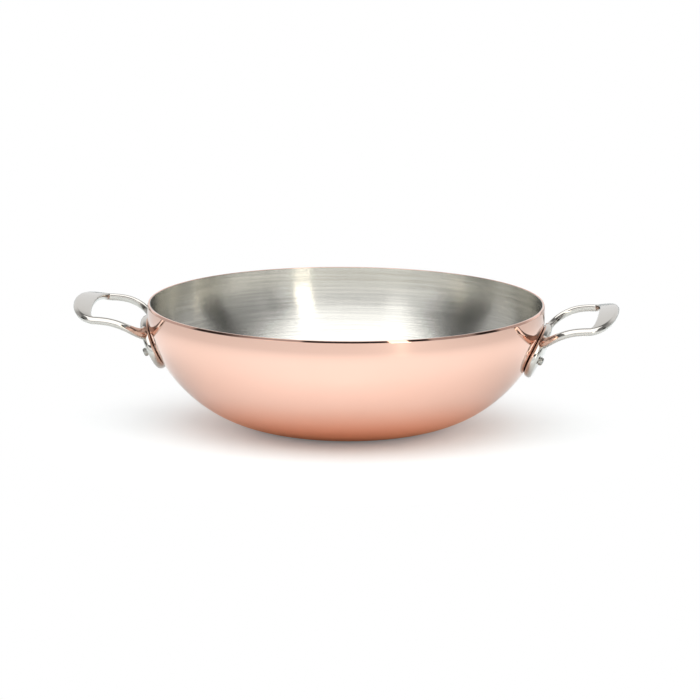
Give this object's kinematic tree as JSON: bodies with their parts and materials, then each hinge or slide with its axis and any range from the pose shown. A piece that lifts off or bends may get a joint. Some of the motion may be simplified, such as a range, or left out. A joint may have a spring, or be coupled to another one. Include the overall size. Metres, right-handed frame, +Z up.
{
  "type": "wok",
  "caption": "Flat-based copper wok with a brushed steel lining and riveted cast steel loop handles, for stovetop frying and simmering.",
  "frame": {"origin": "middle of the underside of the pan's flat base", "axes": "+Z up out of the open pan, +X towards the right-hand handle, -Y towards the viewer of the picture"},
  "size_m": [0.44, 0.32, 0.1],
  "materials": {
    "copper": "mirror-polished copper",
    "brushed_steel": "brushed in circles",
    "polished_steel": "cast and mirror-polished stainless steel"
  },
  "bodies": {
    "root": {"copper_shell": "copper", "steel_lining": "brushed_steel", "handle_left": "polished_steel", "handle_right": "polished_steel", "rivet_left_front": "polished_steel", "rivet_left_back": "polished_steel", "rivet_right_front": "polished_steel", "rivet_right_back": "polished_steel"}
  },
  "joints": []
}
